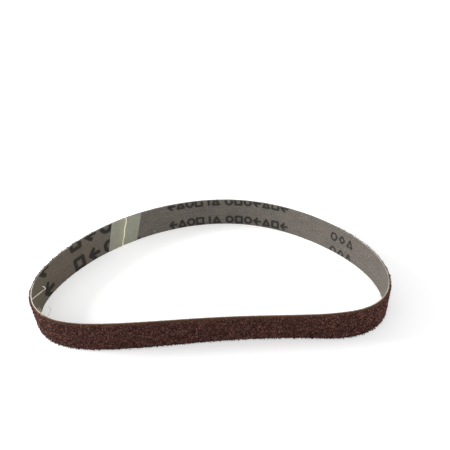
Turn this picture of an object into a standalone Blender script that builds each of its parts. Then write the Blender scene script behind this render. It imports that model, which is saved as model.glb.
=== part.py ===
"""A narrow sanding belt, opened out into a loose loop and standing on its edge.

A strip of stiff cloth with a coarse grain coat on its outer face is bent round until its two ends meet.
A film tape on the inner face holds the joint between them. Units are metres, +Z is up, and the belt
stands on the plane z = 0 with the middle of its outer box over the origin.
"""
import math

import bmesh
import bpy
import numpy as np
from mathutils import Vector

# The belt: its width by its inside length, and its layers from the inside out.
BELT_WIDTH = 0.020
BELT_LENGTH = 0.520
TAPE_THICKNESS = 0.0002
CLOTH_THICKNESS = 0.0007
COAT_THICKNESS = 0.00105
# Bonded layers keep a hair's breadth between their faces, so that each stays a solid of its own.
BOND_GAP = 0.00002

# The splice: how far along the belt it lies from the loop's right end, and how the two ends meet there.
SPLICE_AT = 0.213
SPLICE_ANGLE = math.radians(17)
SPLICE_GAP = 0.0005
SPLICE_WAVE = 0.0002
SPLICE_WAVE_LENGTH = 0.009
TAPE_WIDTH = 0.0205

# The loop as it stands, anticlockwise from its right end seen from above: x and y of the inner face at
# the floor in metres, and how many degrees the wall's top leans outwards there. The loop is drawn at
# about its real size, and then brought to the belt's exact length.
LOOP_POINTS = (
    (0.0940, -0.0200, 1.5),
    (0.0905, 0.0110, 1.5),
    (0.0620, 0.0470, 0.5),
    (0.0185, 0.0700, 0.0),
    (-0.0300, 0.0690, 1.0),
    (-0.0730, 0.0475, 2.5),
    (-0.1005, 0.0155, 2.5),
    (-0.1070, -0.0135, 2.5),
    (-0.0910, -0.0345, 2.0),
    (-0.0535, -0.0400, 2.0),
    (0.0000, -0.0375, 6.5),
    (0.0440, -0.0385, 7.5),
    (0.0650, -0.0400, 2.5),
    (0.0815, -0.0360, 1.5),
)

# The length of one facet round the loop, and how many samples the smooth curve is read at.
FACET_LENGTH = 0.003
CURVE_SAMPLES = 2800

# What cuts the splice reaches this far past it, with this many steps along the wavy joint.
CUTTER_MARGIN = 0.004
JOINT_STEPS = 24

# Faces that meet at more than this angle keep a sharp edge, and the rest shade smooth.
SHARP_ANGLE = math.radians(35)


def closed_spline(points, samples):
    """The smooth closed curve through the points, read at even steps of its parameter."""
    count = len(points)
    here = np.eye(count)
    following = np.roll(here, 1, axis=1)
    preceding = np.roll(here, -1, axis=1)
    slopes = np.linalg.solve(4 * here + following + preceding, 3 * (following - preceding) @ points)
    place = np.arange(samples) * count / samples
    start = place.astype(int)
    end = (start + 1) % count
    u = (place - start)[:, None]
    near_start = (1 - u) ** 2 * ((1 + 2 * u) * points[start] + u * slopes[start])
    near_end = u ** 2 * ((3 - 2 * u) * points[end] - (1 - u) * slopes[end])
    return near_start + near_end


def belt_wall():
    """The inner face at even steps along the belt: its foot, outward direction, lean and distance."""
    drawn = closed_spline(np.array(LOOP_POINTS), CURVE_SAMPLES)
    steps = np.linalg.norm(np.roll(drawn[:, :2], -1, axis=0) - drawn[:, :2], axis=1)
    travelled = np.concatenate(([0.0], np.cumsum(steps)))
    share = np.linspace(0.0, 1.0, round(BELT_LENGTH / FACET_LENGTH), endpoint=False)
    places = travelled[-1] * share
    x, y, degrees = (np.interp(places, travelled, np.append(column, column[0])) for column in drawn.T)
    foot = np.column_stack((x, y)) * BELT_LENGTH / travelled[-1]
    lean = np.radians(degrees)
    run = np.roll(foot, -1, axis=0) - np.roll(foot, 1, axis=0)
    outward = np.column_stack((run[:, 1], -run[:, 0])) / np.linalg.norm(run, axis=1)[:, None]
    # The box round the outer face, at the floor and at the top edge, is centred on the origin.
    depth = CLOTH_THICKNESS + BOND_GAP + COAT_THICKNESS
    outer_foot = foot + outward * depth / np.cos(lean)[:, None]
    outer_head = outer_foot + outward * BELT_WIDTH * np.sin(lean)[:, None]
    reach = np.vstack((outer_foot, outer_head))
    foot -= (reach.min(axis=0) + reach.max(axis=0)) / 2
    return foot, outward, lean, BELT_LENGTH * share


def plain_material(name, colour, roughness):
    """A material of one sRGB hex colour."""
    channels = [int(colour[i:i + 2], 16) / 255 for i in (1, 3, 5)]
    linear = [c / 12.92 if c <= 0.04045 else ((c + 0.055) / 1.055) ** 2.4 for c in channels]
    material = bpy.data.materials.new(name)
    material.use_nodes = True
    shader = material.node_tree.nodes["Principled BSDF"]
    shader.inputs["Base Color"].default_value = (*linear, 1)
    shader.inputs["Roughness"].default_value = roughness
    shader.inputs["Metallic"].default_value = 0.0
    return material


def drawn_body(name, line, rise, depth, closed, collection):
    """A solid: a line of points is drawn out into a sheet, and the sheet into a thickness."""
    bm = bmesh.new()
    station = bm.verts.layers.int.new("station")
    feet = [bm.verts.new(point) for point in line]
    for number, vert in enumerate(feet):
        vert[station] = number
    followers = feet[1:] + feet[:1] if closed else feet[1:]
    edges = [bm.edges.new(pair) for pair in zip(feet, followers)]
    sheet = bmesh.ops.extrude_edge_only(bm, edges=edges)
    for vert in (item for item in sheet["geom"] if isinstance(item, bmesh.types.BMVert)):
        vert.co += Vector(rise[vert[station]])
    # Triangles come first, so that both faces of a body fold along the same diagonals.
    bmesh.ops.triangulate(bm, faces=bm.faces[:], quad_method="FIXED")
    wall = bmesh.ops.extrude_face_region(bm, geom=bm.faces[:])
    for vert in (item for item in wall["geom"] if isinstance(item, bmesh.types.BMVert)):
        vert.co += Vector(depth[vert[station]])
    bmesh.ops.recalc_face_normals(bm, faces=bm.faces[:])
    mesh = bpy.data.meshes.new(name)
    bm.to_mesh(mesh)
    bm.free()
    mesh.shade_smooth()
    mesh.set_sharp_from_angle(angle=SHARP_ANGLE)
    body = bpy.data.objects.new(name, mesh)
    collection.objects.link(body)
    return body


def belt_layer(name, inner_depth, thickness, stations, material, collection):
    """A layer that starts at a depth outside the cloth's inner face, over some or all of the belt."""
    foot, outward, lean, _ = belt_wall()
    closed = len(stations) == len(foot)
    foot, outward, lean = foot[stations], outward[stations], lean[stations, None]
    level = np.column_stack((outward, np.zeros(len(foot))))
    line = np.column_stack((foot, np.zeros(len(foot)))) + level * inner_depth / np.cos(lean)
    rise = BELT_WIDTH * (level * np.sin(lean) + np.array((0, 0, 1)) * np.cos(lean))
    body = drawn_body(name, line, rise, level * thickness / np.cos(lean), closed, collection)
    body.data.materials.append(material)
    return body


def splice_cutter(name, width, wave, collection):
    """A slab through the belt at the splice, as wide as given and slanted as the joint is."""
    foot, outward, lean, along = belt_wall()
    here = [np.interp(SPLICE_AT, along, column, period=BELT_LENGTH) for column in (*foot.T, *outward.T, lean)]
    level = Vector((here[2], here[3], 0)).normalized()
    up = level * math.sin(here[4]) + Vector((0, 0, math.cos(here[4])))
    middle = Vector((here[0], here[1], 0)) + up * BELT_WIDTH / 2
    forward = Vector((-level.y, level.x, 0))
    through = forward.cross(up)
    reach = TAPE_THICKNESS + CLOTH_THICKNESS + COAT_THICKNESS + CUTTER_MARGIN
    run = width / math.cos(SPLICE_ANGLE)
    line = []
    for height in np.linspace(-1, 1, JOINT_STEPS + 1) * (BELT_WIDTH / 2 + CUTTER_MARGIN):
        shift = wave * math.sin(2 * math.pi * height / SPLICE_WAVE_LENGTH)
        side = shift - height * math.tan(SPLICE_ANGLE) - run / 2
        line.append(middle + up * height + forward * side - through * reach)
    rise = [forward * run] * len(line)
    depth = [through * 2 * reach] * len(line)
    cutter = drawn_body(name, line, rise, depth, False, collection)
    cutter.hide_render = True
    cutter.display_type = "WIRE"
    return cutter


def cut_with(body, cutter, operation):
    """A live Boolean of the body and a cutter."""
    modifier = body.modifiers.new(cutter.name, "BOOLEAN")
    modifier.operation = operation
    modifier.object = cutter


def stations_at_splice():
    """The facets, in order along the belt, that the slanted tape lies on."""
    along = belt_wall()[3]
    past = (along - SPLICE_AT + BELT_LENGTH / 2) % BELT_LENGTH - BELT_LENGTH / 2
    half = TAPE_WIDTH / math.cos(SPLICE_ANGLE) + BELT_WIDTH * math.tan(SPLICE_ANGLE)
    return [i for i in np.argsort(past) if abs(past[i]) < half / 2 + CUTTER_MARGIN]


def build():
    """The belt's three layers, cut at the splice."""
    for old in list(bpy.data.objects):
        bpy.data.objects.remove(old)
    belt = bpy.data.collections.new("sanding_belt")
    cutters = bpy.data.collections.new("splice_cutters")
    for collection in (belt, cutters):
        bpy.context.scene.collection.children.link(collection)

    cloth_finish = plain_material("finished_cloth", "#696159", 0.85)
    coat_finish = plain_material("aluminium_oxide_in_resin", "#432b27", 0.55)
    tape_finish = plain_material("splice_film", "#8c8d7d", 0.45)

    whole = list(range(len(belt_wall()[0])))
    cloth = belt_layer("backing_cloth", 0.0, CLOTH_THICKNESS, whole, cloth_finish, belt)
    coat = belt_layer("abrasive_coat", CLOTH_THICKNESS + BOND_GAP, COAT_THICKNESS, whole, coat_finish, belt)
    tape = belt_layer("splice_tape", -BOND_GAP - TAPE_THICKNESS, TAPE_THICKNESS, stations_at_splice(),
                      tape_finish, belt)

    joint = splice_cutter("joint_between_ends", SPLICE_GAP, SPLICE_WAVE, cutters)
    outline = splice_cutter("tape_outline", TAPE_WIDTH, 0.0, cutters)
    cut_with(cloth, joint, "DIFFERENCE")
    cut_with(coat, joint, "DIFFERENCE")
    cut_with(tape, outline, "INTERSECT")


build()
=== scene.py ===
import math
from functools import partial

import bmesh
import bpy
import numpy as np
from mathutils import Matrix, Vector


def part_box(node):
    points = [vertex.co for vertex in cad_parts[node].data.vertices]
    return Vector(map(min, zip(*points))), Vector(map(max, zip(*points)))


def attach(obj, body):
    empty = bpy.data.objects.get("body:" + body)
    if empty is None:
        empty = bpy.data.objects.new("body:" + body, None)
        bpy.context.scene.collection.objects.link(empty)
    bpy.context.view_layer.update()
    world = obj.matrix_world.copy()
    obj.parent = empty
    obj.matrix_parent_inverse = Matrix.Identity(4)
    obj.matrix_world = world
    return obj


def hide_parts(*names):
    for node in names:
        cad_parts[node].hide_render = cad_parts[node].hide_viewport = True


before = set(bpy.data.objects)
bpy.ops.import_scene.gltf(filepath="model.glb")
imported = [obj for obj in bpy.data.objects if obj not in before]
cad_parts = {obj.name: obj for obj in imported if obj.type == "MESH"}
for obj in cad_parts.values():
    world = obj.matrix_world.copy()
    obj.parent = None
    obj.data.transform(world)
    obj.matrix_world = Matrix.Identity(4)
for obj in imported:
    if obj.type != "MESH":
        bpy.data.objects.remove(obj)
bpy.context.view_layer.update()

MM = 0.001

# Backing cloth. On the real belt it is a heavy drill of cotton and polyester, soaked in a stiff grey-brown
# finish and slit to width. The strip is bent round until its ends meet, and stands here on a cut edge,
# where the raw yarn shows cream. It is made flat, as it comes off the roll, and then bent to the loop.
BELT_WIDTH = 20 * MM
BELT_LENGTH = 520 * MM
CLOTH_THICKNESS = 0.7 * MM
CLOTH_STEP = 0.5 * MM
# The cut edge at the top wanders by this much, anew at each step.
EDGE_WANDER = 0.05 * MM
EDGE_STEP = 0.8 * MM
# Faces that meet at more than this angle keep a sharp edge.
SHARP_ANGLE = math.radians(40)
# The joint between the strip's two ends: how far along it lies, its slant, its gap and its waves.
SPLICE_AT = 213 * MM
SPLICE_ANGLE = math.radians(17)
SPLICE_GAP = 0.5 * MM
SPLICE_WAVE = 0.2 * MM
SPLICE_WAVE_LENGTH = 9 * MM
# The loop anticlockwise from its right end: x and y of the inner face at the floor, in millimetres, and
# how many degrees the wall's top leans outwards there.
LOOP_POINTS = np.array((
    (94.0, -20.0, 1.5),
    (90.5, 11.0, 1.5),
    (62.0, 47.0, 0.5),
    (18.5, 70.0, 0.0),
    (-30.0, 69.0, 1.0),
    (-73.0, 47.5, 2.5),
    (-100.5, 15.5, 2.5),
    (-107.0, -13.5, 2.5),
    (-91.0, -34.5, 2.0),
    (-53.5, -40.0, 2.0),
    (0.0, -37.5, 6.5),
    (44.0, -38.5, 7.5),
    (65.0, -40.0, 2.5),
    (81.5, -36.0, 1.5),
))
LOOP_SAMPLES = 5200
# How clean the cut yarn is, from 0 to 1, at distances along in millimetres. It is cream round the left end
# of the loop, half clean at the right end, and grey elsewhere, where the finish has soaked into it.
CLEAN_YARN = np.array(((0, 0.45), (14, 0.45), (22, 0.6), (44, 0.55), (60, 0.1), (215, 0.05), (240, 0.1),
                       (286, 0.1), (293, 1.0), (314, 1.0), (322, 0.5), (335, 0.25), (490, 0.15), (505, 0.45)))
# How far the finish has turned from grey (0) over brown (0.5) to olive (1), also at distances along.
DULLED = np.array(((213, 0.0), (250, 0.5), (272, 0.5), (295, 1.0), (420, 1.0), (470, 0.0)))


def closed_spline(points, samples):
    """The smooth closed curve through the points, read at even steps of its parameter."""
    count = len(points)
    here = np.eye(count)
    following = np.roll(here, 1, axis=1)
    preceding = np.roll(here, -1, axis=1)
    slopes = np.linalg.solve(4 * here + following + preceding, 3 * (following - preceding) @ points)
    place = np.arange(samples) * count / samples
    start = place.astype(int)
    end = (start + 1) % count
    u = (place - start)[:, None]
    near_start = (1 - u) ** 2 * ((1 + 2 * u) * points[start] + u * slopes[start])
    near_end = u ** 2 * ((3 - 2 * u) * points[end] - (1 - u) * slopes[end])
    return near_start + near_end


def loop_wall():
    """Distance along the belt, and there x, y, outward x, outward y and lean of the inner face."""
    drawn = closed_spline(LOOP_POINTS, LOOP_SAMPLES)
    steps = np.linalg.norm(np.roll(drawn[:, :2], -1, axis=0) - drawn[:, :2], axis=1)
    distance = np.concatenate(([0.0], np.cumsum(steps)[:-1])) * BELT_LENGTH / steps.sum()
    foot = drawn[:, :2] * BELT_LENGTH / steps.sum()
    lean = np.radians(drawn[:, 2])
    run = np.roll(foot, -1, axis=0) - np.roll(foot, 1, axis=0)
    outward = np.column_stack((run[:, 1], -run[:, 0])) / np.linalg.norm(run, axis=1)[:, None]
    # The cloth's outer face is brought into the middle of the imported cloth's box.
    outer_foot = foot + outward * CLOTH_THICKNESS / np.cos(lean)[:, None]
    reach = np.vstack((outer_foot, outer_foot + outward * BELT_WIDTH * np.sin(lean)[:, None]))
    packed = np.array(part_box("backing_cloth"))[:, :2]
    foot += packed.mean(axis=0) - (reach.min(axis=0) + reach.max(axis=0)) / 2
    return distance, (*foot.T, *outward.T, lean)


DISTANCE, WALL = loop_wall()


def on_loop(flat):
    """Where points of the flat strip go: distance along, height, and depth outside the inner face."""
    along, height, depth = np.asarray(flat, dtype=float).T
    x, y, out_x, out_y, lean = (np.interp(along, DISTANCE, column, period=BELT_LENGTH) for column in WALL)
    reach = depth / np.cos(lean) + height * np.sin(lean)
    return np.column_stack((x + out_x * reach, y + out_y * reach, height * np.cos(lean)))


def joint_line(height):
    """How far along the belt the slanted, slightly wavy joint between its ends lies at a height."""
    above = height - BELT_WIDTH / 2
    wave = SPLICE_WAVE * np.sin(2 * math.pi * above / SPLICE_WAVE_LENGTH)
    return SPLICE_AT + wave - above * math.tan(SPLICE_ANGLE)


def strip_along(share, height):
    """How far along a point lies that is this share of the way from one end of the strip to the other."""
    return joint_line(height) + SPLICE_GAP / 2 + share * (BELT_LENGTH - SPLICE_GAP)


def read_points(mesh):
    """The mesh's points as an array."""
    points = np.empty(len(mesh.vertices) * 3)
    mesh.vertices.foreach_get("co", points)
    return points.reshape(-1, 3)


def write_points(mesh, points):
    """Puts the array back as the mesh's points."""
    mesh.vertices.foreach_set("co", np.asarray(points, dtype=np.float32).ravel())
    mesh.update()


def added_verts(extrusion):
    """The vertices that an extrusion has added."""
    return [item for item in extrusion["geom"] if isinstance(item, bmesh.types.BMVert)]


def make_mesh(name, bm):
    """Makes a mesh of what has been built."""
    mesh = bpy.data.meshes.new(name)
    bm.to_mesh(mesh)
    bm.free()
    return mesh


def strip_mesh(name, steps_along, steps_up, inner, outer):
    """A flat strip from end to end of the belt, between two depths. Its cut edges are its material 1."""
    bm = bmesh.new()
    bmesh.ops.create_grid(bm, x_segments=steps_along, y_segments=steps_up, size=0.5)
    bmesh.ops.translate(bm, vec=Vector((0.5, 0.5, inner)), verts=bm.verts)
    bmesh.ops.reverse_faces(bm, faces=bm.faces)
    wall = bmesh.ops.extrude_face_region(bm, geom=bm.faces[:])
    bmesh.ops.translate(bm, vec=Vector((0, 0, outer - inner)), verts=added_verts(wall))
    bmesh.ops.recalc_face_normals(bm, faces=bm.faces[:])
    for face in bm.faces:
        face.material_index = int(abs(face.normal.z) < 0.5)
    mesh = make_mesh(name, bm)
    points = read_points(mesh)
    points[:, 1] *= BELT_WIDTH
    points[:, 0] = strip_along(points[:, 0], points[:, 1])
    write_points(mesh, points)
    return mesh


def add_object(name, data):
    """Adds an object to the scene that shows a mesh, a lamp or a camera."""
    made = bpy.data.objects.new(name, data)
    bpy.context.scene.collection.objects.link(made)
    return made


def add_piece(name, mesh, materials):
    """Bends a flat mesh to the loop, keeps its flat place as the map "belt", and adds it to the object."""
    points = read_points(mesh)
    corners = np.empty(len(mesh.loops), dtype=np.int32)
    mesh.loops.foreach_get("vertex_index", corners)
    mesh.uv_layers.new(name="belt").data.foreach_set("uv", points[corners, :2].astype(np.float32).ravel())
    write_points(mesh, on_loop(points))
    for material in materials:
        mesh.materials.append(material)
    piece = add_object(name, mesh)
    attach(piece, "root")
    return piece


def wander(rng, places, spacing, amount):
    """A smooth random line: its value at each place, with knots a spacing apart."""
    knots = np.arange(places.min() - spacing, places.max() + 2 * spacing, spacing)
    return np.interp(places, knots, rng.normal(0, amount, len(knots)))


def add_value(mesh, name, values):
    """Keeps a number for each point of the mesh, for its material to read."""
    mesh.attributes.new(name, "FLOAT", "POINT").data.foreach_set("value", np.asarray(values, np.float32))


def table_value(table, along):
    """The value that a table of distances in millimetres gives at each distance along the belt."""
    return np.interp(along / MM, *table.T, period=BELT_LENGTH / MM)


def smooth_over(mesh):
    """Shades the mesh smooth between its sharp edges."""
    mesh.shade_smooth()
    mesh.set_sharp_from_angle(angle=SHARP_ANGLE)


cloth_mesh = strip_mesh("backing_cloth_finished", round(BELT_LENGTH / CLOTH_STEP),
                        round(BELT_WIDTH / CLOTH_STEP), 0.0, CLOTH_THICKNESS)
cloth_points = read_points(cloth_mesh)
at_top = cloth_points[:, 1] > BELT_WIDTH - CLOTH_STEP / 2
edge_rng = np.random.default_rng(3)
cloth_points[at_top, 1] -= np.abs(wander(edge_rng, cloth_points[at_top, 0], EDGE_STEP, EDGE_WANDER))
write_points(cloth_mesh, cloth_points)
add_value(cloth_mesh, "clean", table_value(CLEAN_YARN, cloth_points[:, 0]))
add_value(cloth_mesh, "soaked", cloth_points[:, 2] / CLOTH_THICKNESS)
add_value(cloth_mesh, "dulled", table_value(DULLED, cloth_points[:, 0]))

# Ink on the cloth. The mill prints the roll's back in rows before it is slit, so the cut edges cross the
# print. The marks are plain strokes of dull black ink, whose edges bleed a little into the yarn: arrows,
# rings, blocks, bars, diamonds and triangles. Each outline is drawn in a box that is 1 wide and 1 high.
INK_BLEED = 0.45 * MM
ARROW = ((0.0, 0.5), (1.0, 0.5), (0.5, 1.0), (1.0, 0.5), (0.5, 0.0))
RING = ((0.3, 0.0), (0.7, 0.0), (1.0, 0.3), (1.0, 0.7), (0.7, 1.0), (0.3, 1.0), (0.0, 0.7), (0.0, 0.3),
        (0.3, 0.0))
BLOCK = ((0.0, 0.0), (1.0, 0.0), (1.0, 1.0), (0.0, 1.0), (0.0, 0.0))
DIAMOND = ((0.5, 0.0), (1.0, 0.5), (0.5, 1.0), (0.0, 0.5), (0.5, 0.0))
BAR = ((0.5, 0.0), (0.5, 1.0))
TRIANGLE = ((0.0, 0.0), (0.5, 1.0), (1.0, 0.0), (0.0, 0.0))
# Each row in millimetres: its outlines, the first one's distance along, their spacing, the foot, how much
# the foot rises per millimetre along, a mark's width, height and stroke, and how far above and below it the
# row is printed again.
INK_ROWS = (
    ((ARROW,), 273.4, 0.0, 0.6, 0.0, 7.8, 8.2, 3.0, 15.2),
    ((RING, ARROW, BLOCK), 221.7, 12.1, 0.9, 0.0, 6.5, 7.2, 2.8, 15.2),
    ((BAR,), 201.4, 0.0, -3.9, 0.0, 4.0, 4.6, 1.8, 60.0),
    ((ARROW, BLOCK, TRIANGLE, ARROW, RING, BLOCK, RING), 97.4, 6.5, 2.0, -0.012, 4.2, 4.7, 1.7, 14.9),
    ((TRIANGLE, BAR), 145.5, 4.8, 1.4, 0.0, 4.2, 4.7, 1.7, 15.0),
    ((BLOCK, RING, TRIANGLE, ARROW), 157.1, 6.3, 1.2, 0.0, 4.3, 4.8, 1.7, 15.0),
    ((TRIANGLE, DIAMOND, RING), 46.6, 6.4, 10.2, -0.06, 3.9, 5.3, 1.35, 11.2),
)


def stroke_cover(places, outline, stroke):
    """How much ink lies at each place near a bent stroke, from 0 to 1."""
    nearest = np.full(len(places), np.inf)
    for start, end in zip(outline[:-1], outline[1:]):
        run = end - start
        share = np.clip((places - start) @ run / (run @ run), 0, 1)
        nearest = np.minimum(nearest, np.linalg.norm(places - start - share[:, None] * run, axis=1))
    return np.clip(0.5 + (stroke / 2 - nearest) / INK_BLEED, 0, 1)


def ink_cover(places):
    """How much ink lies at each place on the flat strip."""
    ink = np.zeros(len(places))
    for outlines, start, spacing, foot, rise, width, height, stroke, pitch in INK_ROWS:
        for number, outline in enumerate(outlines):
            left = start + number * spacing
            near = np.abs(places[:, 0] - (left + width / 2) * MM) < (width + stroke) * MM
            for row in (-1, 0, 1):
                low = foot + rise * (left - start) + row * pitch
                points = (np.array(outline) * (width, height) + (left, low)) * MM
                ink[near] = np.maximum(ink[near], stroke_cover(places[near], points, stroke * MM))
    return ink


# The strip starts at the joint and runs on past the full length, where the distances start again.
wrapped_along = cloth_points[:, :1] % BELT_LENGTH
add_value(cloth_mesh, "ink", ink_cover(np.hstack((wrapped_along, cloth_points[:, 1:2]))))


def srgb(colour):
    """The linear colour of an sRGB hex value."""
    channels = [int(colour[i:i + 2], 16) / 255 for i in (1, 3, 5)]
    return (*(c / 12.92 if c <= 0.04045 else ((c + 0.055) / 1.055) ** 2.4 for c in channels), 1.0)


def add_node(owner, kind, inputs=None, **settings):
    """Adds a node to a material or a world. Its inputs, by name or number, are values or nodes' outputs."""
    node = owner.node_tree.nodes.new(kind)
    for name, value in settings.items():
        setattr(node, name, value)
    for name, value in (inputs or {}).items():
        if isinstance(value, bpy.types.NodeSocket):
            owner.node_tree.links.new(value, node.inputs[name])
        else:
            node.inputs[name].default_value = value
    return node


def new_material(name):
    """An empty material, and what adds a node to it."""
    material = bpy.data.materials.new(name)
    material.use_nodes = True
    material.node_tree.nodes.clear()
    return material, partial(add_node, material)


# How far apart the bands of a wave texture lie when its scale is 1.
WAVE_PITCH = 2 * math.pi / 20


def finished_cloth():
    """Cotton and polyester drill filled with a dull grey-brown finish: the warp shows as faint streaks."""
    material, add = new_material("finished_cotton_drill")
    belt = add("ShaderNodeUVMap", uv_map="belt").outputs["UV"]
    # Yarns lie about 0.45 mm apart, and are drawn 0.9 mm apart so that they show at this size.
    yarns = {"Vector": belt, "Scale": WAVE_PITCH / (0.9 * MM), "Distortion": 1.2, "Detail": 2.0,
             "Detail Scale": 0.5}
    warp = add("ShaderNodeTexWave", yarns, wave_type="BANDS", bands_direction="Y").outputs["Fac"]
    weft = add("ShaderNodeTexWave", yarns, wave_type="BANDS", bands_direction="X").outputs["Fac"]
    weave = add("ShaderNodeMath", {0: warp, 1: weft}, operation="MULTIPLY").outputs[0]
    # Slubs in the yarn run along the belt, some 12 mm long and 0.6 mm wide.
    long_way = add("ShaderNodeMapping", {"Vector": belt, "Scale": (1 / (12 * MM), 1 / (0.6 * MM), 1)})
    slubs = add("ShaderNodeTexNoise", {"Vector": long_way.outputs[0], "Scale": 1.0, "Detail": 3.0,
                                       "Roughness": 0.6}).outputs["Fac"]
    patches = add("ShaderNodeTexNoise", {"Vector": belt, "Scale": 1 / (9 * MM), "Detail": 4.0,
                                         "Roughness": 0.65}).outputs["Fac"]
    fine = add("ShaderNodeTexNoise", {"Vector": belt, "Scale": 1 / (0.9 * MM), "Detail": 2.0}).outputs["Fac"]
    # The tone adds up from how much each of these shows, most of all the fine mottle of single yarns.
    tone = -1.17
    for pattern, amount in ((slubs, 1.1), (patches, 0.4), (fine, 1.8), (weave, 0.08)):
        tone = add("ShaderNodeMath", {0: pattern, 1: amount, 2: tone}, operation="MULTIPLY_ADD").outputs[0]
    cloth = add("ShaderNodeMix", {"Factor": tone, 6: srgb("#3f3c39"), 7: srgb("#807b76")},
                data_type="RGBA").outputs[2]
    # The finish lay on unevenly, and is browner round the left end of the loop.
    dulled = add("ShaderNodeAttribute", attribute_name="dulled").outputs["Fac"]
    half = add("ShaderNodeMapRange", {"Value": dulled, "From Max": 0.5, "To Min": 0.25,
                                      "To Max": 0.7}).outputs[0]
    blotch = add("ShaderNodeMapRange", {"Value": patches, "From Min": 0.35, "From Max": 0.65,
                                        "To Min": 0.4}).outputs[0]
    brown = add("ShaderNodeMath", {0: half, 1: blotch}, operation="MULTIPLY").outputs[0]
    cloth = add("ShaderNodeMix", {"Factor": brown, 6: cloth, 7: srgb("#6f5f4c")},
                data_type="RGBA").outputs[2]
    olive = add("ShaderNodeMapRange", {"Value": dulled, "From Min": 0.5, "To Max": 0.5}).outputs[0]
    cloth = add("ShaderNodeMix", {"Factor": olive, 6: cloth, 7: srgb("#77735f")},
                data_type="RGBA").outputs[2]
    # A few bare cotton flecks lie on the finish.
    spots = add("ShaderNodeTexNoise", {"Vector": belt, "Scale": 1 / (1.1 * MM), "Detail": 1.0}).outputs["Fac"]
    fleck = add("ShaderNodeMapRange", {"Value": spots, "From Min": 0.70, "From Max": 0.78}).outputs[0]
    cloth = add("ShaderNodeMix", {"Factor": fleck, 6: cloth, 7: srgb("#a1988b")}, data_type="RGBA").outputs[2]
    # The ink thins out on the crowns of the yarns.
    ink = add("ShaderNodeAttribute", attribute_name="ink").outputs["Fac"]
    worn = add("ShaderNodeMapRange", {"Value": fine, "From Min": 0.30, "From Max": 0.62,
                                      "To Min": 1.0, "To Max": 0.9}).outputs[0]
    ink = add("ShaderNodeMath", {0: ink, 1: worn}, operation="MULTIPLY").outputs[0]
    colour = add("ShaderNodeMix", {"Factor": ink, 6: cloth, 7: srgb("#1f1e1a")}, data_type="RGBA").outputs[2]
    relief = add("ShaderNodeMath", {0: slubs, 1: 0.5, 2: weave}, operation="MULTIPLY_ADD").outputs[0]
    bump = add("ShaderNodeBump", {"Height": relief, "Strength": 0.35, "Distance": 0.06 * MM}).outputs[0]
    shader = add("ShaderNodeBsdfPrincipled", {"Base Color": colour, "Roughness": 0.82,
                                              "Specular IOR Level": 0.3, "Normal": bump})
    add("ShaderNodeOutputMaterial", {"Surface": shader.outputs[0]})
    return material


def raw_cotton():
    """Undyed cotton yarn, cut or frayed: soft and cream, or grey where the cloth's finish has soaked in."""
    material, add = new_material("raw_cotton_yarn")
    place = add("ShaderNodeTexCoord").outputs["Object"]
    clean = add("ShaderNodeAttribute", attribute_name="clean").outputs["Fac"]
    soil = add("ShaderNodeTexNoise", {"Vector": place, "Scale": 1 / (1.4 * MM), "Detail": 3.0}).outputs["Fac"]
    clean = add("ShaderNodeMath", {0: soil, 1: -1.6, 2: clean}, operation="MULTIPLY_ADD").outputs[0]
    clean = add("ShaderNodeMath", {0: clean, 1: 0.8}, operation="ADD", use_clamp=True).outputs[0]
    cotton = add("ShaderNodeMix", {"Factor": clean, 6: srgb("#736c62"), 7: srgb("#f4e7da")},
                 data_type="RGBA").outputs[2]
    # The resin has soaked into the side of the cloth that carries the grains.
    soaked = add("ShaderNodeAttribute", attribute_name="soaked").outputs["Fac"]
    soaked = add("ShaderNodeMapRange", {"Value": soaked, "From Min": 0.35, "From Max": 0.65}).outputs[0]
    colour = add("ShaderNodeMix", {"Factor": soaked, 6: cotton, 7: srgb("#5b4334")},
                 data_type="RGBA").outputs[2]
    shader = add("ShaderNodeBsdfPrincipled", {"Base Color": colour, "Roughness": 0.9,
                                              "Specular IOR Level": 0.2, "Sheen Weight": 0.2})
    add("ShaderNodeOutputMaterial", {"Surface": shader.outputs[0]})
    return material


RAW_COTTON = raw_cotton()
cloth_piece = add_piece("backing_cloth_finished", cloth_mesh, (finished_cloth(), RAW_COTTON))
smooth_over(cloth_mesh)
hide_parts("backing_cloth")

# Resin bed. On the real belt phenolic resin is rolled onto the cloth, the grains are thrown into it by a
# static field, and a second coat of resin locks them. Cured, it is a dark red-brown glassy crust, which
# shows between the grains and, lighter and browner, where they have broken off along the top slit edge:
# there it is partly rusty worn resin and partly painted light, where the top edge catches the light.
BOND_GAP = 0.02 * MM
RESIN_DEPTH = CLOTH_THICKNESS + BOND_GAP
RESIN_THICKNESS = 0.42 * MM
RESIN_STEP = 0.8 * MM
RESIN_LUMPS = 0.04 * MM
# How much of its thickness the crust has lost at both edges, where the slitting knives crushed it.
RESIN_CRUSHED = 0.75
# The top edge has lost its grains over a margin: its usual width, its width against that at distances
# along in millimetres, how ragged it is at even steps round the belt, and its most against the usual.
BARE_MARGIN = 0.85 * MM
MARGIN_SHARE = np.array(((0, 0.3), (12, 0.1), (24, 0.5), (50, 0.7), (60, 2.0), (214, 2.0), (228, 0.1),
                         (335, 0.1), (350, 0.4), (400, 0.2), (412, 0.1), (425, 0.9), (445, 0.7), (460, 0.2),
                         (480, 0.5), (505, 0.3)))
MARGIN_RAGGED = np.random.default_rng(8).normal(0, 0.45, 400)
MARGIN_MOST = 1.8


def bare_margin(along):
    """How far below the top edge the grains start at each distance along the belt."""
    knots = np.arange(len(MARGIN_RAGGED)) * BELT_LENGTH / len(MARGIN_RAGGED)
    share = table_value(MARGIN_SHARE, along) + np.interp(along, knots, MARGIN_RAGGED, period=BELT_LENGTH)
    return BARE_MARGIN * np.clip(share, 0, MARGIN_MOST)


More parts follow.
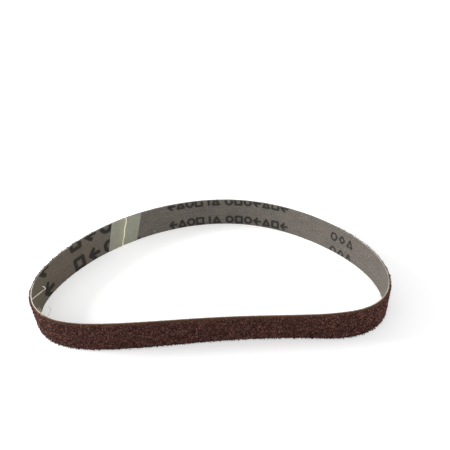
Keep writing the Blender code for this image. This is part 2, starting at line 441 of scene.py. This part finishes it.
resin_mesh = strip_mesh("resin_bed", round(BELT_LENGTH / RESIN_STEP), round(BELT_WIDTH / RESIN_STEP),
                        RESIN_DEPTH, RESIN_DEPTH + RESIN_THICKNESS)
resin_points = read_points(resin_mesh)
resin_outside = resin_points[:, 2] > RESIN_DEPTH + RESIN_THICKNESS / 2
resin_rng = np.random.default_rng(5)
resin_points[resin_outside, 2] += resin_rng.normal(0, RESIN_LUMPS, resin_outside.sum())
resin_inset = np.minimum(resin_points[:, 1], BELT_WIDTH - resin_points[:, 1])
resin_crushed = resin_outside & (resin_inset < RESIN_STEP / 2)
resin_points[resin_crushed, 2] -= RESIN_CRUSHED * RESIN_THICKNESS
write_points(resin_mesh, resin_points)


def cured_resin():
    """Phenolic resin with iron oxide: dark, slightly glossy, lighter brown at the top edge, partly painted
    light.
    """
    material, add = new_material("cured_phenolic_resin")
    belt = add("ShaderNodeUVMap", uv_map="belt").outputs["UV"]
    height = add("ShaderNodeSeparateXYZ", {0: belt}).outputs["Y"]
    # Painted light, in part: towards the top edge the resin turns lighter and browner, worn and catching the
    # light.
    top = add("ShaderNodeMapRange", {"Value": height, "From Min": BELT_WIDTH - 2 * BARE_MARGIN,
                                     "From Max": BELT_WIDTH}).outputs[0]
    lumps = add("ShaderNodeTexNoise", {"Vector": belt, "Scale": 1 / (0.8 * MM), "Detail": 3.0}).outputs["Fac"]
    dark = add("ShaderNodeMix", {"Factor": lumps, 6: srgb("#1d0e0c"), 7: srgb("#3d231d")},
               data_type="RGBA").outputs[2]
    worn = add("ShaderNodeMix", {"Factor": lumps, 6: srgb("#302318"), 7: srgb("#65462f")},
               data_type="RGBA").outputs[2]
    # Rusty stains, some 7 mm long, lie here and there on the worn resin.
    stain = add("ShaderNodeTexNoise", {"Vector": belt, "Scale": 1 / (7 * MM), "Detail": 2.0}).outputs["Fac"]
    rusty = add("ShaderNodeMapRange", {"Value": stain, "From Min": 0.5, "From Max": 0.6,
                                       "To Max": 0.4}).outputs[0]
    worn = add("ShaderNodeMix", {"Factor": rusty, 6: worn, 7: srgb("#743c2b")}, data_type="RGBA").outputs[2]
    colour = add("ShaderNodeMix", {"Factor": top, 6: dark, 7: worn}, data_type="RGBA").outputs[2]
    bump = add("ShaderNodeBump", {"Height": lumps, "Strength": 0.6, "Distance": 0.1 * MM}).outputs[0]
    shader = add("ShaderNodeBsdfPrincipled", {"Base Color": colour, "Roughness": 0.5, "Normal": bump,
                                              "Specular IOR Level": 0.12})
    add("ShaderNodeOutputMaterial", {"Surface": shader.outputs[0]})
    return material


RESIN = cured_resin()
resin_piece = add_piece("resin_bed", resin_mesh, (RESIN, RESIN))
smooth_over(resin_mesh)
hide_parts("abrasive_coat")

# Abrasive grains. They are crushed brown aluminium oxide, each broken to its own sharp shape. They stand
# half sunk in the resin, close together, and have broken off in places along the slit edges. Real ones are
# 0.5 to 0.7 mm long, and these are drawn about 0.8 mm long so that single grains show.
GRAIN_SIZE = 0.82 * MM
# The smallest and the largest grain against that size.
GRAIN_SIZES = (0.7, 1.2)
GRAIN_SPACING = 0.71 * MM
# How far grains stray from their place in the rows, against their spacing.
GRAIN_STRAY = 0.35
# How deep a grain's middle lies outside the cloth's inner face, and how much that varies.
GRAIN_LEVEL = RESIN_DEPTH + 0.60 * MM
GRAIN_UNEVEN = 0.15 * MM
# A grain's corners: how many, the least and most reach from its middle, and how that is stretched each way.
GRAIN_CORNERS = 8
CORNER_REACH = (0.42, 0.58)
GRAIN_STRETCH = (0.85, 0.95, 1.2)
GRAIN_TILT = math.radians(60)
GRAIN_SHAPES = 24
# The grains are kept as meshes of a third of the belt each.
GRAIN_STRETCHES = 3
# Grains start this far below the bare margin, and this far from the joint as a share of the belt's length.
# At the bottom they start at a random height between these two, against their spacing.
MARGIN_INSET = 0.2 * GRAIN_SIZE
JOINT_INSET = 0.0008
LOWEST_GRAINS = (-0.6, 0.5)
# What stands past the edges is cut off: at the top this far out, less most of the bare margin, and at the
# bottom just above the floor.
GRAIN_OVERHANG = 0.28 * MM
MARGIN_CUT = 0.9
FLOOR_CLEARANCE = 0.02 * MM
# The two shapes of the beta distribution of tints, by which most grains are dark and a few are light.
GRAIN_TINTS = (0.8, 2.2)
grain_rng = np.random.default_rng(36)


def crushed_grain(rng):
    """The corners and faces of one broken grain, a convex lump about 1 across and a little longer."""
    bm = bmesh.new()
    for direction in rng.normal(size=(GRAIN_CORNERS, 3)):
        reach = rng.uniform(*CORNER_REACH) / np.linalg.norm(direction)
        bm.verts.new(direction * reach * GRAIN_STRETCH)
    hull = bmesh.ops.convex_hull(bm, input=bm.verts[:])
    bmesh.ops.delete(bm, geom=hull["geom_interior"], context="VERTS")
    bmesh.ops.recalc_face_normals(bm, faces=bm.faces[:])
    bm.verts.index_update()
    corners = np.array([vert.co for vert in bm.verts])
    faces = np.array([[vert.index for vert in face.verts] for face in bm.faces])
    bm.free()
    return corners, faces


def turned(points, rng, most):
    """The points turned about a random axis by up to the given angle."""
    axis = Vector(rng.normal(size=3)).normalized()
    return points @ np.array(Matrix.Rotation(rng.uniform(-most, most), 3, axis)).T


def grain_places(rng):
    """Where grains stand on the flat strip, as (distance along, height), from end to end."""
    rows = np.arange(GRAIN_SPACING / 4, BELT_WIDTH, GRAIN_SPACING * math.sqrt(3) / 2)
    along = np.arange(0, BELT_LENGTH - SPLICE_GAP, GRAIN_SPACING)
    share, height = np.meshgrid(along / (BELT_LENGTH - SPLICE_GAP), rows)
    share[1::2] += GRAIN_SPACING / 2 / BELT_LENGTH
    height = height + rng.uniform(-GRAIN_STRAY, GRAIN_STRAY, height.shape) * GRAIN_SPACING
    share = share + rng.uniform(-GRAIN_STRAY, GRAIN_STRAY, share.shape) * GRAIN_SPACING / BELT_LENGTH
    share, height = share.ravel(), height.ravel()
    places = np.column_stack((strip_along(share, height), height))
    top = BELT_WIDTH - bare_margin(places[:, 0]) - MARGIN_INSET
    bottom = rng.uniform(*LOWEST_GRAINS, len(height)) * GRAIN_SPACING
    kept = (share > JOINT_INSET) & (share < 1 - JOINT_INSET) & (height > bottom) & (height < top)
    return places[kept][np.argsort(places[kept, 0])]


def grain_mesh(name, shapes, places, rng):
    """One mesh of loose grains at the places, each turned and sized anew, with a tint for each grain."""
    kinds = rng.integers(len(shapes), size=len(places))
    points, faces, tints, count = [], [], [], 0
    for kind, (corners, shape_faces) in enumerate(shapes):
        here = places[kinds == kind]
        spin = rng.uniform(0, 2 * math.pi, len(here))[:, None]
        size = GRAIN_SIZE * rng.uniform(*GRAIN_SIZES, len(here))[:, None]
        level = (GRAIN_LEVEL + rng.normal(0, GRAIN_UNEVEN, len(here)))[:, None]
        x = here[:, :1] + size * (np.cos(spin) * corners[:, 0] - np.sin(spin) * corners[:, 1])
        y = here[:, 1:] + size * (np.sin(spin) * corners[:, 0] + np.cos(spin) * corners[:, 1])
        points.append(np.stack((x, y, level + size * corners[:, 2]), axis=2).reshape(-1, 3))
        starts = count + np.arange(len(here)) * len(corners)
        faces.append((shape_faces[None] + starts[:, None, None]).reshape(-1, 3))
        tints.append(np.repeat(rng.beta(*GRAIN_TINTS, len(here)), len(corners)))
        count += len(here) * len(corners)
    points = np.vstack(points)
    highest = BELT_WIDTH + GRAIN_OVERHANG - MARGIN_CUT * bare_margin(points[:, 0])
    points[:, 1] = np.clip(points[:, 1], FLOOR_CLEARANCE, highest)
    mesh = bpy.data.meshes.new(name)
    mesh.from_pydata(points, [], np.vstack(faces))
    add_value(mesh, "tint", np.concatenate(tints))
    return mesh


def crushed_oxide():
    """Brown aluminium oxide under a thin size coat: each grain has its own tone, and its facets glint."""
    material, add = new_material("brown_aluminium_oxide")
    place = add("ShaderNodeTexCoord").outputs["Object"]
    belt = add("ShaderNodeUVMap", uv_map="belt").outputs["UV"]
    tint = add("ShaderNodeAttribute", attribute_name="tint").outputs["Fac"]
    # Patches some 3 mm wide are a little darker or lighter than the rest.
    patches = add("ShaderNodeTexNoise", {"Vector": place, "Scale": 1 / (3 * MM),
                                         "Detail": 3.0}).outputs["Fac"]
    tone = -0.25
    for pattern, amount in ((patches, 0.5), (tint, 1.55)):
        tone = add("ShaderNodeMath", {0: pattern, 1: amount, 2: tone}, operation="MULTIPLY_ADD").outputs[0]
    body = add("ShaderNodeMix", {"Factor": tone, 6: srgb("#32120d"), 7: srgb("#90655b")},
               data_type="RGBA").outputs[2]
    # Painted light: towards the top edge the grains are lighter and browner, where the top edge catches the
    # light.
    height = add("ShaderNodeSeparateXYZ", {0: belt}).outputs["Y"]
    edge = add("ShaderNodeMapRange", {"Value": height, "From Min": BELT_WIDTH - 3 * BARE_MARGIN,
                                      "From Max": BELT_WIDTH, "To Max": 0.5}).outputs[0]
    body = add("ShaderNodeMix", {"Factor": edge, 6: body, 7: srgb("#5f3f2c")}, data_type="RGBA").outputs[2]
    # Painted shade: the grains turn darker along the bottom, just above the floor.
    painted_bottom_shade = add("ShaderNodeMapRange", {"Value": height, "From Min": 1.8 * MM, "From Max": 0.3 * MM,
                                        "To Max": 0.8}).outputs[0]
    colour = add("ShaderNodeMix", {"Factor": painted_bottom_shade, 6: body, 7: srgb("#170a09")},
                 data_type="RGBA").outputs[2]
    shader = add("ShaderNodeBsdfPrincipled", {"Base Color": colour, "Roughness": 0.42,
                                              "Specular IOR Level": 0.07})
    add("ShaderNodeOutputMaterial", {"Surface": shader.outputs[0]})
    return material


OXIDE = crushed_oxide()
grain_shapes = []
for _ in range(GRAIN_SHAPES):
    rough_points, rough_faces = crushed_grain(grain_rng)
    grain_shapes.append((turned(rough_points, grain_rng, GRAIN_TILT), rough_faces))
for number, chosen in enumerate(np.array_split(grain_places(grain_rng), GRAIN_STRETCHES), start=1):
    grains = grain_mesh(f"abrasive_grains_{number}", grain_shapes, chosen, grain_rng)
    add_piece(f"abrasive_grains_{number}", grains, (OXIDE,))

# Splice tape. A reinforced polyester film, laid square to the slanted joint, pressed hot over it on the
# inside and slit with the belt. It is grey-green, hides the print under it and has a satin face.
TAPE_WIDTH = 20.5 * MM
TAPE_THICKNESS = 0.2 * MM
TAPE_DEPTH = -BOND_GAP - TAPE_THICKNESS
TAPE_STEPS = 40
tape_run = TAPE_WIDTH / math.cos(SPLICE_ANGLE)
tape = bmesh.new()
bmesh.ops.create_grid(tape, x_segments=TAPE_STEPS, y_segments=TAPE_STEPS, size=0.5)
for vert in tape.verts:
    height = (vert.co.y + 0.5) * BELT_WIDTH
    centre = SPLICE_AT - (height - BELT_WIDTH / 2) * math.tan(SPLICE_ANGLE)
    vert.co = (centre + vert.co.x * tape_run, height, TAPE_DEPTH)
film = bmesh.ops.extrude_face_region(tape, geom=tape.faces[:])
bmesh.ops.translate(tape, vec=Vector((0, 0, TAPE_THICKNESS)), verts=added_verts(film))
bmesh.ops.recalc_face_normals(tape, faces=tape.faces[:])
tape_mesh = make_mesh("splice_film", tape)


def polyester_film():
    """Grey-green polyester film with a satin face and the fine threads of its reinforcement under it."""
    material, add = new_material("reinforced_polyester_film")
    belt = add("ShaderNodeUVMap", uv_map="belt").outputs["UV"]
    # The threads run across the belt, 0.5 mm apart, and are drawn 1.2 mm apart so that they show.
    threads = add("ShaderNodeTexWave", {"Vector": belt, "Scale": WAVE_PITCH / (1.2 * MM),
                                        "Distortion": 1.5, "Detail": 2.0, "Detail Scale": 0.5},
                  wave_type="BANDS", bands_direction="X").outputs["Fac"]
    haze = add("ShaderNodeTexNoise", {"Vector": belt, "Scale": 1 / (4 * MM), "Detail": 4.0}).outputs["Fac"]
    fine = add("ShaderNodeTexNoise", {"Vector": belt, "Scale": 1 / (0.9 * MM), "Detail": 2.0}).outputs["Fac"]
    tone = -0.4
    for pattern, amount in ((threads, 0.3), (fine, 0.8), (haze, 0.7)):
        tone = add("ShaderNodeMath", {0: pattern, 1: amount, 2: tone}, operation="MULTIPLY_ADD").outputs[0]
    film = add("ShaderNodeMix", {"Factor": tone, 6: srgb("#7d7d6f"), 7: srgb("#a3a392")},
               data_type="RGBA").outputs[2]
    # The glue under it has yellowed on one side of the slanted joint, the more the nearer to it.
    along, height, _ = add("ShaderNodeSeparateXYZ", {0: belt}).outputs
    slant = math.tan(SPLICE_ANGLE)
    past = add("ShaderNodeMath", {0: height, 1: slant, 2: along}, operation="MULTIPLY_ADD").outputs[0]
    joint = SPLICE_AT + slant * BELT_WIDTH / 2
    one_side = add("ShaderNodeMath", {0: past, 1: joint}, operation="GREATER_THAN").outputs[0]
    near = add("ShaderNodeMapRange", {"Value": past, "From Min": joint + 6 * MM, "From Max": joint,
                                      "To Max": 0.65}).outputs[0]
    yellowed = add("ShaderNodeMath", {0: one_side, 1: near}, operation="MULTIPLY").outputs[0]
    colour = add("ShaderNodeMix", {"Factor": yellowed, 6: film, 7: srgb("#aaa688")},
                 data_type="RGBA").outputs[2]
    bump = add("ShaderNodeBump", {"Height": threads, "Strength": 0.2, "Distance": 0.03 * MM}).outputs[0]
    shader = add("ShaderNodeBsdfPrincipled", {"Base Color": colour, "Roughness": 0.45, "Normal": bump})
    add("ShaderNodeOutputMaterial", {"Surface": shader.outputs[0]})
    return material


tape_piece = add_piece("splice_film", tape_mesh, (polyester_film(),))
smooth_over(tape_mesh)
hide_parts("splice_tape")

# Joint line. Where the two ends meet, their raw cotton edges and the glue between them stand proud under
# the film and show through it as a bright cream ridge, wavy and uneven in width. Its bright cream is partly
# the cotton and partly painted light, for the light that comes through the gap between the ends.
RIDGE_WIDTH = 0.65 * MM
RIDGE_HEIGHT = 0.16 * MM
# How much its width varies against the usual one, in steps how long, and the least and most allowed.
RIDGE_UNEVEN = 0.18
RIDGE_UNEVEN_STEP = 1.5 * MM
RIDGE_UNEVEN_RANGE = (-0.3, 0.4)
# Its sides start just outside the film's face, and its back lies inside the film.
RIDGE_FACE = TAPE_DEPTH - 0.01 * MM
RIDGE_BACK = -BOND_GAP - 0.6 * TAPE_THICKNESS
RIDGE_FACETS = 4
RIDGE_STEPS = 50
ridge_rng = np.random.default_rng(11)
ridge = bmesh.new()
bmesh.ops.create_grid(ridge, x_segments=RIDGE_FACETS, y_segments=RIDGE_STEPS, size=0.5)
ridge_heights = np.array([(vert.co.y + 0.5) * BELT_WIDTH for vert in ridge.verts])
ridge_uneven = wander(ridge_rng, ridge_heights, RIDGE_UNEVEN_STEP, RIDGE_UNEVEN)
ridge_widths = RIDGE_WIDTH * (1 + np.clip(ridge_uneven, *RIDGE_UNEVEN_RANGE))
for vert, height, width in zip(ridge.verts, ridge_heights, ridge_widths):
    crown = 1 - (2 * vert.co.x) ** 2
    vert.co = (joint_line(height) + vert.co.x * width, height, RIDGE_FACE - crown * RIDGE_HEIGHT)
for vert in added_verts(bmesh.ops.extrude_face_region(ridge, geom=ridge.faces[:])):
    vert.co.z = RIDGE_BACK
bmesh.ops.recalc_face_normals(ridge, faces=ridge.faces[:])
ridge_mesh = make_mesh("joint_ridge", ridge)


def backlit_cream_joint():
    """Cotton and glue under film: cream, brightened as painted light from the gap, dimmer under more glue."""
    material, add = new_material("backlit_cotton_and_glue_under_film")
    belt = add("ShaderNodeUVMap", uv_map="belt").outputs["UV"]
    # Glue has gathered in patches some 5 mm long, and most of all in the lower half.
    patch = add("ShaderNodeTexNoise", {"Vector": belt, "Scale": 1 / (5 * MM), "Detail": 2.0}).outputs["Fac"]
    height = add("ShaderNodeSeparateXYZ", {0: belt}).outputs["Y"]
    low = add("ShaderNodeMapRange", {"Value": height, "From Min": 12 * MM, "From Max": 5 * MM,
                                     "To Max": 0.25}).outputs[0]
    patch = add("ShaderNodeMath", {0: patch, 1: low}, operation="ADD").outputs[0]
    glue = add("ShaderNodeMapRange", {"Value": patch, "From Min": 0.45, "From Max": 0.7}).outputs[0]
    # Painted light, in part: the cream is this bright for the light that comes through the gap.
    colour = add("ShaderNodeMix", {"Factor": glue, 6: srgb("#fffbe8"), 7: srgb("#cdc6a4")},
                 data_type="RGBA").outputs[2]
    # The faint glow stands for light that comes through the gap between the ends.
    shader = add("ShaderNodeBsdfPrincipled", {"Base Color": colour, "Roughness": 0.5,
                                              "Emission Color": srgb("#fff6da"), "Emission Strength": 0.25})
    add("ShaderNodeOutputMaterial", {"Surface": shader.outputs[0]})
    return material


add_piece("joint_ridge", ridge_mesh, (backlit_cream_joint(),))
ridge_mesh.shade_smooth()

# Frayed edge. Slitting leaves short cotton fibres standing out of both cut edges of the cloth. They are
# longer and thicker where a yarn has come loose, and along the floor they lie over towards the inside.
FIBRE_COUNT = 2600
# The share of them that stands at the top edge.
TOP_SHARE = 0.65
# Real fibres are about 0.02 mm thick, and these are drawn thicker so that they show. A fibre narrows by the
# same factor from each ring to the next.
FIBRE_RADIUS = 0.055 * MM
FIBRE_SIDES = 3
FIBRE_RINGS = 4
FIBRE_TAPER = 0.8
# Fibres are rooted this far below the top edge, above the floor, and in from the cloth's faces.
ROOT_BELOW_TOP = 0.15 * MM
ROOT_ABOVE_FLOOR = 0.12 * MM
ROOT_INSET = 0.03 * MM
# The shortest and the longest, and how much longer than the shortest they are on average.
FIBRE_SHORTEST = 0.15 * MM
FIBRE_LONGEST = 1.6 * MM
FIBRE_EXTRA = 0.32 * MM
# How widely their headings spread, and how much they bend against their length.
FIBRE_SPREAD = 0.8
FIBRE_BEND = 0.35
# How much of the spread leans them through the cloth's thickness at the top, and lifts them at the floor.
# There they head inwards by the third of these, and only the last share of an upward bend is left.
TOP_LEAN = 0.6
FLOOR_LIFTED = 0.2
FLOOR_INWARDS = 0.8
FLOOR_BEND = 0.3
# Where yarns have come loose at the top edge, at distances along in millimetres, the share of all fibres
# that stands there and how far they scatter. They clump, so a drawn one is longer and thicker.
FRAYED_PLACES = (37.0, 43.0, 48.0, 53.0, 57.6, 249.0, 249.6, 260.5, 318.0)
FRAYED_SHARE = 0.16
FRAYED_SCATTER = 1.6
FRAYED_REACH = 1.8
FRAYED_CLUMP = 1.7
fibre_rng = np.random.default_rng(21)


def straight_fibre():
    """The points and faces of a straight tapered fibre along +Z, 1 long and 1 in radius at its root."""
    bm = bmesh.new()
    bmesh.ops.create_circle(bm, cap_ends=True, segments=FIBRE_SIDES, radius=1.0)
    tip = bm.faces[:]
    for _ in range(FIBRE_RINGS - 1):
        grown = bmesh.ops.extrude_face_region(bm, geom=tip)
        tip = [item for item in grown["geom"] if isinstance(item, bmesh.types.BMFace)]
        ring = added_verts(grown)
        bmesh.ops.translate(bm, vec=Vector((0, 0, 1 / (FIBRE_RINGS - 1))), verts=ring)
        bmesh.ops.scale(bm, vec=Vector((FIBRE_TAPER, FIBRE_TAPER, 1)), verts=ring)
    bmesh.ops.recalc_face_normals(bm, faces=bm.faces[:])
    bmesh.ops.triangulate(bm, faces=bm.faces[:])
    bm.verts.index_update()
    points = np.array([vert.co for vert in bm.verts])
    faces = np.array([[vert.index for vert in face.verts] for face in bm.faces])
    bm.free()
    return points, faces


def unit(vectors):
    """The vectors, each brought to length 1."""
    return vectors / np.linalg.norm(vectors, axis=-1, keepdims=True)


fibre_points, fibre_faces = straight_fibre()
along = fibre_rng.uniform(0, BELT_LENGTH, FIBRE_COUNT)
frayed = fibre_rng.uniform(size=FIBRE_COUNT) < FRAYED_SHARE
frayed_at = fibre_rng.choice(FRAYED_PLACES, FIBRE_COUNT) + fibre_rng.normal(0, FRAYED_SCATTER, FIBRE_COUNT)
along = np.where(frayed, frayed_at * MM, along)
at_top = frayed | (fibre_rng.uniform(size=FIBRE_COUNT) < TOP_SHARE)
roots = np.column_stack((along, np.where(at_top, BELT_WIDTH - ROOT_BELOW_TOP, ROOT_ABOVE_FLOOR),
                         fibre_rng.uniform(ROOT_INSET, CLOTH_THICKNESS - ROOT_INSET, FIBRE_COUNT)))
roots[~at_top, 2] = ROOT_INSET
# At the top they stand up and lean to all sides. At the floor they head inwards and a little upwards.
sideways, other_way = fibre_rng.normal(0, FIBRE_SPREAD, (FIBRE_COUNT, 2)).T
standing = np.column_stack((sideways, np.full(FIBRE_COUNT, 1.0), other_way * TOP_LEAN))
lying = np.column_stack((sideways, np.abs(other_way) * FLOOR_LIFTED, np.full(FIBRE_COUNT, -FLOOR_INWARDS)))
heading = unit(np.where(at_top[:, None], standing, lying))
reach = np.minimum(FIBRE_SHORTEST + fibre_rng.exponential(FIBRE_EXTRA, FIBRE_COUNT), FIBRE_LONGEST)
reach *= np.where(frayed, FRAYED_REACH, 1.0)
bend = fibre_rng.normal(0, FIBRE_BEND, (FIBRE_COUNT, 3)) * reach[:, None]
bend[~at_top, 1] = np.abs(bend[~at_top, 1]) * FLOOR_BEND
# Each fibre is the straight one, turned to its heading and bent the more the nearer to its tip.
across = unit(np.cross(heading, fibre_rng.normal(size=(FIBRE_COUNT, 3))))
share = fibre_points[:, 2][None, :, None]
fuzz_points = roots[:, None] + share * (heading * reach[:, None])[:, None] + share ** 2 * bend[:, None]
radii = FIBRE_RADIUS * np.where(frayed, FRAYED_CLUMP, 1.0)
thickness = radii[:, None, None] * fibre_points[None, :, :2]
fuzz_points += across[:, None] * thickness[:, :, :1]
fuzz_points += np.cross(heading, across)[:, None] * thickness[:, :, 1:]
fuzz_faces = fibre_faces[None] + (np.arange(FIBRE_COUNT) * len(fibre_points))[:, None, None]
fuzz_mesh = bpy.data.meshes.new("edge_fuzz")
fuzz_mesh.from_pydata(fuzz_points.reshape(-1, 3), [], fuzz_faces.reshape(-1, 3))
add_value(fuzz_mesh, "clean", np.repeat(table_value(CLEAN_YARN, along), len(fibre_points)))
add_piece("edge_fuzz", fuzz_mesh, (RAW_COTTON,))

# Loose ends. A two-ply weft yarn has pulled out of the top edge at the left end of the loop and curls over
# it, a fine grey filament stands next to it, and a short white fibre clings to the inner face.
PLY_RADIUS = 0.10 * MM
PLY_TWIST = 1.1 * MM
# The plies press into each other, so each lies a little less than its radius off the yarn's middle.
PLY_OFFSET = 0.9 * PLY_RADIUS
# A direction that the yarn never takes, to count the twist from.
YARN_ASIDE = (0.2, 0.1, 1.0)
# The paths' points in millimetres: the yarn's and the filament's in the part's own place, and the clinging
# fibre's on the flat strip, as distance along, height and depth outside the inner face.
YARN_PATH = ((-100.35, -34.60, 19.85), (-99.50, -34.15, 20.10), (-98.22, -32.87, 20.60),
             (-96.56, -31.05, 20.95), (-94.99, -28.95, 21.15), (-93.64, -27.02, 21.15),
             (-94.40, -26.05, 21.25), (-95.90, -25.14, 21.30))
FILAMENT_PATH = ((-87.95, -49.40, 19.85), (-87.87, -48.42, 20.45), (-87.10, -47.30, 21.30),
                 (-86.45, -46.40, 22.20), (-86.95, -45.30, 23.00), (-88.05, -44.40, 23.50))
CLINGING_PATH = ((192.2, 3.7, -0.04), (192.0, 2.8, -0.16), (191.6, 1.8, -0.25), (191.2, 0.4, -0.05))
FILAMENT_RADIUS = 0.11 * MM
CLINGING_RADIUS = 0.06 * MM
YARN_STEP = 0.12 * MM
FILAMENT_STEP = 0.15 * MM
# A thread's radius at its ends against its full one, and how much of that it gains at each step inwards.
THREAD_TIP = 0.35
THREAD_GAIN = 0.3


def smooth_path(points, step):
    """Points at even steps on a smooth open curve through the given ones."""
    points = np.asarray(points, dtype=float)
    travelled = np.concatenate(([0.0], np.cumsum(np.linalg.norm(np.diff(points, axis=0), axis=1))))
    slopes = np.gradient(points, travelled, axis=0)
    places = np.linspace(0, travelled[-1], max(2, round(travelled[-1] / step)))
    start = np.clip(np.searchsorted(travelled, places, side="right") - 1, 0, len(points) - 2)
    span = (travelled[start + 1] - travelled[start])[:, None]
    u = (places - travelled[start])[:, None] / span
    rise = points[start + 1] - points[start]
    curve = points[start] + u * rise
    curve += u * (1 - u) * ((1 - u) * (slopes[start] * span - rise) - u * (slopes[start + 1] * span - rise))
    return curve, places


def thread_mesh(name, paths, radius):
    """Round threads along paths, tapered at both ends, as one mesh."""
    curve = bpy.data.curves.new(name, "CURVE")
    curve.dimensions = "3D"
    curve.bevel_depth = radius
    curve.bevel_resolution = 2
    curve.use_fill_caps = True
    for path in paths:
        spline = curve.splines.new("POLY")
        spline.points.add(len(path) - 1)
        for number, (point, place) in enumerate(zip(spline.points, path)):
            point.co = (*place, 1)
            point.radius = min(1.0, THREAD_TIP + THREAD_GAIN * min(number, len(path) - 1 - number))
    drawn = bpy.data.objects.new(name, curve)
    mesh = bpy.data.meshes.new_from_object(drawn)
    bpy.data.objects.remove(drawn)
    mesh.shade_smooth()
    return mesh


def add_thread(name, mesh, material):
    """Adds a thread whose mesh already lies in the part's place."""
    mesh.materials.append(material)
    thread = add_object(name, mesh)
    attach(thread, "root")


def grey_filament():
    """A single polyester filament from the drill: smooth, grey and slightly shiny, with dust on it."""
    material, add = new_material("grey_polyester_filament")
    place = add("ShaderNodeTexCoord").outputs["Object"]
    dust = add("ShaderNodeTexNoise", {"Vector": place, "Scale": 1 / (1 * MM)}).outputs["Fac"]
    colour = add("ShaderNodeMix", {"Factor": dust, 6: srgb("#5f6364"), 7: srgb("#868a8a")},
                 data_type="RGBA").outputs[2]
    shader = add("ShaderNodeBsdfPrincipled", {"Base Color": colour, "Roughness": 0.4})
    add("ShaderNodeOutputMaterial", {"Surface": shader.outputs[0]})
    return material


yarn, travelled = smooth_path(np.array(YARN_PATH) * MM, YARN_STEP)
turn = 2 * math.pi * travelled / PLY_TWIST
sideways = unit(np.cross(np.gradient(yarn, axis=0), YARN_ASIDE))
upwards = unit(np.cross(sideways, np.gradient(yarn, axis=0)))
ply = PLY_OFFSET * (np.cos(turn)[:, None] * sideways + np.sin(turn)[:, None] * upwards)
yarn_mesh = thread_mesh("loose_yarn", (yarn + ply, yarn - ply), PLY_RADIUS)
add_value(yarn_mesh, "clean", np.ones(len(yarn_mesh.vertices)))
add_thread("loose_yarn", yarn_mesh, RAW_COTTON)
filament, _ = smooth_path(np.array(FILAMENT_PATH) * MM, FILAMENT_STEP)
filament_mesh = thread_mesh("standing_filament", (filament,), FILAMENT_RADIUS)
add_thread("standing_filament", filament_mesh, grey_filament())
clinging, _ = smooth_path(np.array(CLINGING_PATH) * MM, FILAMENT_STEP)
clinging_mesh = thread_mesh("clinging_fibre", (on_loop(clinging),), CLINGING_RADIUS)
add_value(clinging_mesh, "clean", np.ones(len(clinging_mesh.vertices)))
add_thread("clinging_fibre", clinging_mesh, RAW_COTTON)

# Studio. The belt stands on a wide white sheet under large soft lamps, the strongest of them on the left,
# so that the cloth grows lighter towards the right. The camera looks down at it from a little above.
FLOOR_SIZE = 8.0
# How much brighter the sheet looks to the camera than it is, and the strength of the light from all round.
FLOOR_LIFT = 0.34
FILL_STRENGTH = 0.66
# The camera's place, its tilt and roll, and its lens and sensor in millimetres.
CAMERA_PLACE = (10.642 * MM, -286.097 * MM, 248.059 * MM)
CAMERA_DOWN = math.radians(36.025)
CAMERA_ROLL = math.radians(-2.855)
CAMERA_LENS = 48.0
CAMERA_SENSOR = 36.0
# What the lamps point at, and then their names, places, sides and powers, in metres and watts.
LAMP_TARGET = Vector((0.0, 0.0, 0.01))
LAMPS = (
    ("key_lamp", (-1.20, 0.20, 0.55), 0.5, 16.5),
    ("front_lamp", (0.10, -1.20, 0.65), 0.7, 4.0),
)


def white_to_rays(add):
    """1 for the rays that see a background: the camera's, and those of gloss and clear things."""
    rays = add("ShaderNodeLightPath").outputs
    seen = add("ShaderNodeMath", {0: rays["Is Camera Ray"], 1: rays["Is Glossy Ray"]}, operation="MAXIMUM")
    return add("ShaderNodeMath", {0: seen.outputs[0], 1: rays["Is Transmission Ray"]},
               operation="MAXIMUM").outputs[0]


def white_paper():
    """Matt white backdrop paper. It takes the belt's soft shadow and otherwise reads as white."""
    material, add = new_material("white_backdrop_paper")
    seen = white_to_rays(add)
    paper = add("ShaderNodeBsdfDiffuse", {"Color": srgb("#f4f4f4")}).outputs[0]
    lift = add("ShaderNodeMath", {0: seen, 1: FLOOR_LIFT}, operation="MULTIPLY").outputs[0]
    glow = add("ShaderNodeEmission", {"Color": srgb("#ffffff"), "Strength": lift}).outputs[0]
    both = add("ShaderNodeAddShader", {0: paper, 1: glow}).outputs[0]
    add("ShaderNodeOutputMaterial", {"Surface": both})
    return material


floor_bm = bmesh.new()
bmesh.ops.create_grid(floor_bm, x_segments=1, y_segments=1, size=FLOOR_SIZE / 2)
floor_mesh = make_mesh("floor", floor_bm)
floor_mesh.materials.append(white_paper())
floor = add_object("floor", floor_mesh)

for name, place, side, power in LAMPS:
    lamp = bpy.data.lights.new(name, "AREA")
    lamp.size = side
    lamp.energy = power
    holder = add_object(name, lamp)
    holder.location = place
    holder.rotation_euler = (LAMP_TARGET - Vector(place)).to_track_quat("-Z", "Y").to_euler()

world = bpy.data.worlds.new("studio")
world.use_nodes = True
world.node_tree.nodes.clear()
seen = white_to_rays(partial(add_node, world))
strength = add_node(world, "ShaderNodeMapRange", {"Value": seen, "To Min": FILL_STRENGTH}).outputs[0]
sky = add_node(world, "ShaderNodeBackground", {"Color": srgb("#ffffff"), "Strength": strength})
add_node(world, "ShaderNodeOutputWorld", {"Surface": sky.outputs[0]})
bpy.context.scene.world = world
bpy.context.scene.view_settings.view_transform = "Standard"

lens = bpy.data.cameras.new("camera")
lens.lens = CAMERA_LENS
lens.sensor_width = CAMERA_SENSOR
lens.clip_start = 0.01
camera = add_object("camera", lens)
looking = Vector((0, math.cos(CAMERA_DOWN), -math.sin(CAMERA_DOWN)))
above = Vector((0, math.sin(CAMERA_DOWN), math.cos(CAMERA_DOWN)))
right = Vector((1, 0, 0))
rolled_right = math.cos(CAMERA_ROLL) * right + math.sin(CAMERA_ROLL) * above
rolled_up = math.cos(CAMERA_ROLL) * above - math.sin(CAMERA_ROLL) * right
turning = Matrix((rolled_right, rolled_up, -looking)).transposed().to_4x4()
camera.matrix_world = Matrix.Translation(CAMERA_PLACE) @ turning
bpy.context.scene.camera = camera
